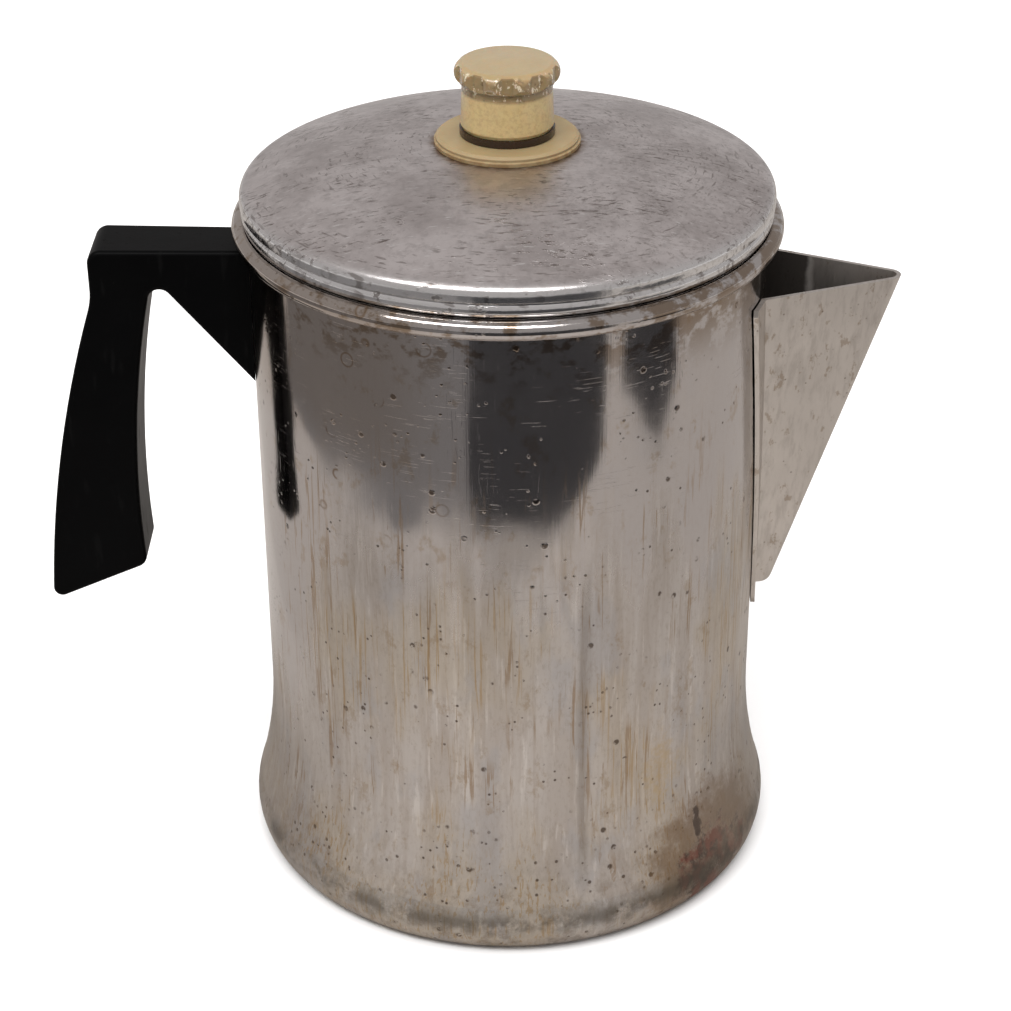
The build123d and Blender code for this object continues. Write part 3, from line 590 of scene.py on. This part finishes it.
def flat(name, corners, z, albedo):
    """A matt level sheet, given by its corners in metres."""
    mesh = bpy.data.meshes.new(name)
    mesh.from_pydata([(x, y, z) for x, y in corners], [], [tuple(range(len(corners)))])
    item = bpy.data.objects.new(name, mesh)
    bpy.context.scene.collection.objects.link(item)
    material = bpy.data.materials.new(name + "_paint")
    material.use_nodes = True
    shader = material.node_tree.nodes["Principled BSDF"]
    shader.inputs["Base Color"].default_value = (*albedo, 1)
    shader.inputs["Roughness"].default_value = MATT
    mesh.materials.append(material)
    return item


def square(reach):
    return [(-reach, -reach), (reach, -reach), (reach, reach), (-reach, reach)]


def mirrored_card(name, corners, z, albedo):
    """A sheet that shows in reflections, but not to the camera, and sheds no shade."""
    item = flat(name, corners, z, albedo)
    item.visible_camera = False
    item.visible_diffuse = False
    item.visible_shadow = False
    item.visible_transmission = False


def make_floor():
    flat("floor", square(FLOOR_REACH), FLOOR_Z, FLOOR_WHITE)


def make_table_sides():
    """The table falls off in brightness to both sides, in two steps."""
    for side in (-1, 1):
        for near_x, shade, z in TABLE_SIDES:
            inner = side * near_x
            outer = side * TABLE_REACH
            corners = [(inner, -TABLE_REACH), (outer, -TABLE_REACH),
                       (outer, TABLE_REACH), (inner, TABLE_REACH)]
            mirrored_card("table_side", corners, z, [shade * channel for channel in TABLE_TONE])


def make_cards():
    """The table and the dark room past its front edge, as the polished metal mirrors them."""
    mirrored_card("table", square(TABLE_REACH), TABLE_Z, TABLE_TONE)
    make_table_sides()
    front_room = [ROOM_SPLIT, ROOM_FAR_SPLIT, (1.9, -2.4), (0.40, -0.47), (0.232, TABLE_EDGE_Y)]
    mirrored_card("dark_room", front_room, ROOM_Z, DARK_TONE)
    side_room = [ROOM_SPLIT, (-0.15, -0.262), (-0.205, -0.195), (-0.235, -0.185), (-0.30, -0.10),
                 (-0.335, 0.09), (-1.2, 0.45), (-1.6, -2.4), ROOM_FAR_SPLIT]
    mirrored_card("dim_room", side_room, ROOM_Z, DIM_TONE)
    wedge = [(0.309, -0.155), (0.376, -0.118), (0.55, -0.16), (0.42, -0.41), (0.284, -0.281)]
    mirrored_card("dark_wedge", wedge, WEDGE_Z, DARK_TONE)


def area_light(name, size, place, aim, watts):
    lamp = bpy.data.lights.new(name, "AREA")
    lamp.shape = "RECTANGLE"
    lamp.size, lamp.size_y = size
    lamp.energy = watts
    item = bpy.data.objects.new(name, lamp)
    item.location = place
    item.rotation_euler = (Vector(aim) - Vector(place)).to_track_quat("-Z", "Y").to_euler()
    bpy.context.scene.collection.objects.link(item)
    return item


def make_light():
    """Wide soft light from above, which the metal does not mirror, and a strip for its edges."""
    world = bpy.data.worlds.new("studio")
    world.use_nodes = True
    world.node_tree.nodes["Background"].inputs["Color"].default_value = WORLD_TONE
    bpy.context.scene.world = world
    overhead = area_light("overhead", (3.0, 3.0), (0, 0, 2.2), (0, 0, 0), OVERHEAD_WATTS)
    overhead.visible_glossy = False
    area_light("strip", (1.6, 0.45), (-0.3, -0.85, 1.5), (0, 0, 0.15), STRIP_WATTS)
    bpy.context.scene.view_settings.view_transform = "Standard"


def make_camera():
    """The view from in front, about 29 degrees above the pot, through a long lens."""
    back = Vector((0, -cos(CAMERA_ELEVATION), sin(CAMERA_ELEVATION)))
    right = Vector((1, 0, 0))
    up = back.cross(right)
    turned_right = right * cos(CAMERA_ROLL) + up * sin(CAMERA_ROLL)
    turned_up = up * cos(CAMERA_ROLL) - right * sin(CAMERA_ROLL)
    camera = bpy.data.cameras.new("camera")
    camera.sensor_width = SENSOR_WIDTH
    camera.lens = CAMERA_LENS
    camera.clip_start = 0.01
    item = bpy.data.objects.new("camera", camera)
    axes = Matrix((turned_right, turned_up, back)).transposed().to_4x4()
    item.matrix_world = Matrix.Translation(CAMERA_TARGET + CAMERA_DISTANCE * back) @ axes
    bpy.context.scene.collection.objects.link(item)
    bpy.context.scene.camera = item


make_floor()
make_cards()
make_light()
make_camera()
